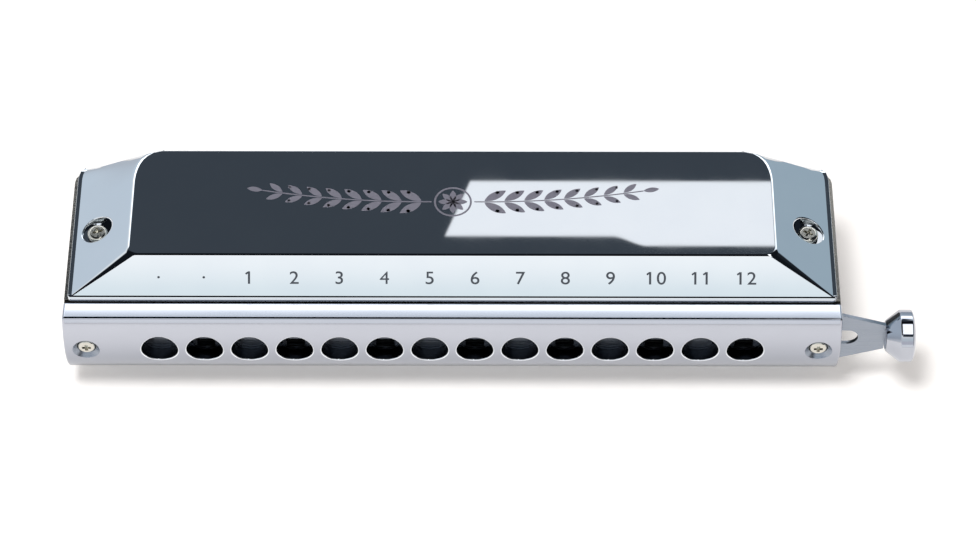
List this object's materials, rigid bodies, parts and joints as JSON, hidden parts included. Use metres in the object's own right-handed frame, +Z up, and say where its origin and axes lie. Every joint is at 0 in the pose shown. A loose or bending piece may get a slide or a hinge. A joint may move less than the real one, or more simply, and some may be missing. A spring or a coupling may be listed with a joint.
{
  "type": "chromatic harmonica",
  "caption": "Chromatic harmonica with a rounded mouthpiece, two faceted metal covers open at the back, and a sprung slide worked by a round button at one end.",
  "frame": {"origin": "centre of the lower cover's flat, on which the harmonica lies", "axes": "+X along the body to the slide's button, +Y from the mouthpiece to the open back, +Z up out of the upper cover"},
  "size_m": [0.1742, 0.0427, 0.0293],
  "materials": {
    "chrome": "polished",
    "steel": "fine brushed",
    "screw_steel": "plated",
    "plated_brass": "plated, satin",
    "bronze": "satin",
    "black_plastic": "moulded",
    "clear_plastic": "film",
    "rubber": "matte"
  },
  "bodies": {
    "body": {"comb": "black_plastic", "mouthpiece": "chrome", "cover_upper": "chrome", "cover_lower": "chrome", "slide_front_plate": "steel", "slide_back_plate": "steel", "slide_spring": "steel", "slide_bumper_left": "rubber", "slide_bumper_right": "rubber", "mouthpiece_screw_left": "screw_steel", "mouthpiece_screw_right": "screw_steel", "cover_bolt_left": "screw_steel", "cover_bolt_right": "screw_steel", "cover_nut_left": "screw_steel", "cover_nut_right": "screw_steel", "reed_plate_upper": "plated_brass", "reed_plate_lower": "plated_brass", "upper_outer_reeds": "bronze", "upper_outer_valves": "clear_plastic", "upper_inner_reeds": "bronze", "upper_inner_valves": "clear_plastic", "upper_plate_screw_1": "screw_steel", "upper_plate_screw_2": "screw_steel", "upper_plate_screw_3": "screw_steel", "upper_plate_screw_4": "screw_steel", "upper_plate_screw_5": "screw_steel", "upper_plate_screw_6": "screw_steel", "lower_outer_reeds": "bronze", "lower_outer_valves": "clear_plastic", "lower_inner_reeds": "bronze", "lower_inner_valves": "clear_plastic", "lower_plate_screw_1": "screw_steel", "lower_plate_screw_2": "screw_steel", "lower_plate_screw_3": "screw_steel", "lower_plate_screw_4": "screw_steel", "lower_plate_screw_5": "screw_steel", "lower_plate_screw_6": "screw_steel"},
    "slide": {"slide": "steel", "slide_button": "chrome"}
  },
  "joints": [
    {"name": "slide_travel", "type": "slide", "parent": "body", "child": "slide", "axis": [-1, 0, 0], "range_m": [0, 0.0046], "stiffness_N_per_m": 300, "springref_m": -0.0067, "deforming": ["slide_spring"]}
  ]
}
